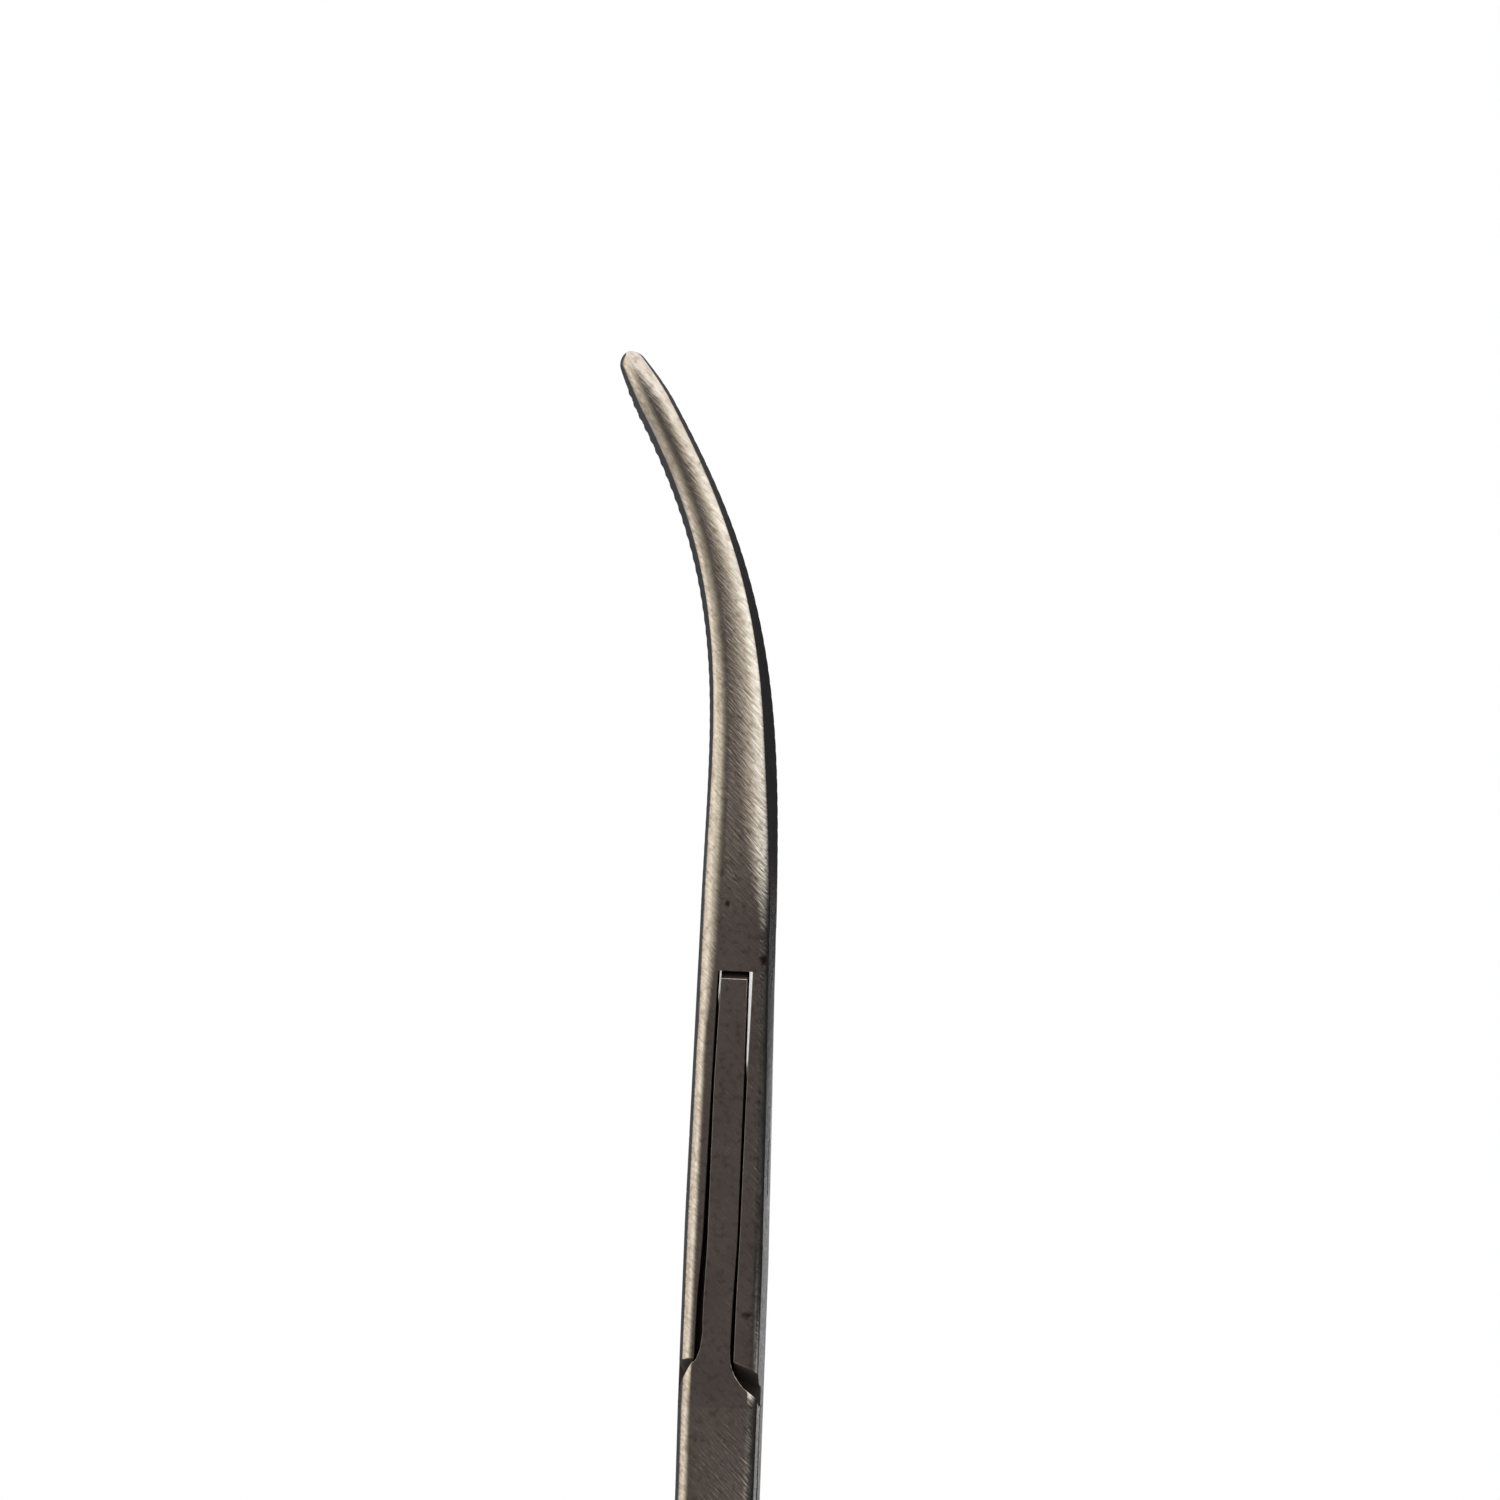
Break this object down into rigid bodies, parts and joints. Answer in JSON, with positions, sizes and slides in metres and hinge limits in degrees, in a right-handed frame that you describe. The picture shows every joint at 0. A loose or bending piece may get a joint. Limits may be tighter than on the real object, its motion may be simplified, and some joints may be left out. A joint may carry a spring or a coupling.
{
  "type": "curved haemostatic forceps",
  "caption": "Slim curved haemostatic forceps with serrated jaws, a box lock, ratchet bars and finger rings; clamps and holds small vessels or tissue.",
  "frame": {"origin": "where the pivot axis meets the flat side of the box that the instrument lies on, the convex side of the jaws' curve", "axes": "+Z along the instrument towards the tips, +X along the pivot pin and out of the flat side it lies on, Y the opening direction with the female jaw on -Y"},
  "size_m": [0.0069, 0.0538, 0.1251],
  "materials": {
    "forged_steel": "satin",
    "pin_steel": "ground flush"
  },
  "bodies": {
    "female_half": {"female_jaw": "forged_steel", "female_box_lock": "forged_steel", "female_shank": "forged_steel", "female_ratchet": "forged_steel", "female_finger_ring": "forged_steel", "pivot_pin": "pin_steel"},
    "male_half": {"male_jaw": "forged_steel", "male_tenon": "forged_steel", "male_shank": "forged_steel", "male_ratchet": "forged_steel", "male_finger_ring": "forged_steel"}
  },
  "joints": [
    {"name": "box_lock_pivot", "type": "hinge", "parent": "female_half", "child": "male_half", "pos_m": [-0.00155, 0, 0], "axis": [-1, 0, 0], "range_deg": [0, 40]}
  ]
}
